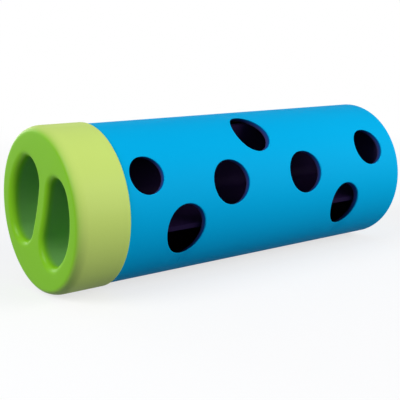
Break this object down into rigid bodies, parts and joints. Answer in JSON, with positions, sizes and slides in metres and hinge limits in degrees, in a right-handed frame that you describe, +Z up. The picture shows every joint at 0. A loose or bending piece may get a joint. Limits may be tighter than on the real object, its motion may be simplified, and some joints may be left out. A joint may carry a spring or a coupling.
{
  "type": "treat dispensing roll",
  "caption": "Perforated tube with a soft grip cap on one end and a cross of vanes inside, which drops treats through its holes as a pet rolls it.",
  "frame": {"origin": "on the floor under the middle of the roll, which lies on its side", "axes": "+X along the roll from the cap to the closed end, +Z up, -Y the side the picture shows"},
  "size_m": [0.188, 0.0716, 0.0716],
  "materials": {
    "blue_plastic": "satin moulded plastic",
    "green_soft_rubber": "satin soft-touch rubber",
    "purple_plastic": "satin moulded plastic"
  },
  "bodies": {
    "tube": {"roll_tube": "blue_plastic"},
    "insert": {"vane_insert": "purple_plastic"},
    "cap": {"end_cap": "green_soft_rubber"}
  },
  "joints": [
    {"name": "cap_turn", "type": "hinge", "parent": "tube", "child": "insert", "pos_m": [0, 0, 0.0358], "axis": [-1, 0, 0], "continuous": true},
    {"name": "cap_pull", "type": "slide", "parent": "insert", "child": "cap", "axis": [-1, 0, 0], "range_m": [0, 0.045]}
  ]
}
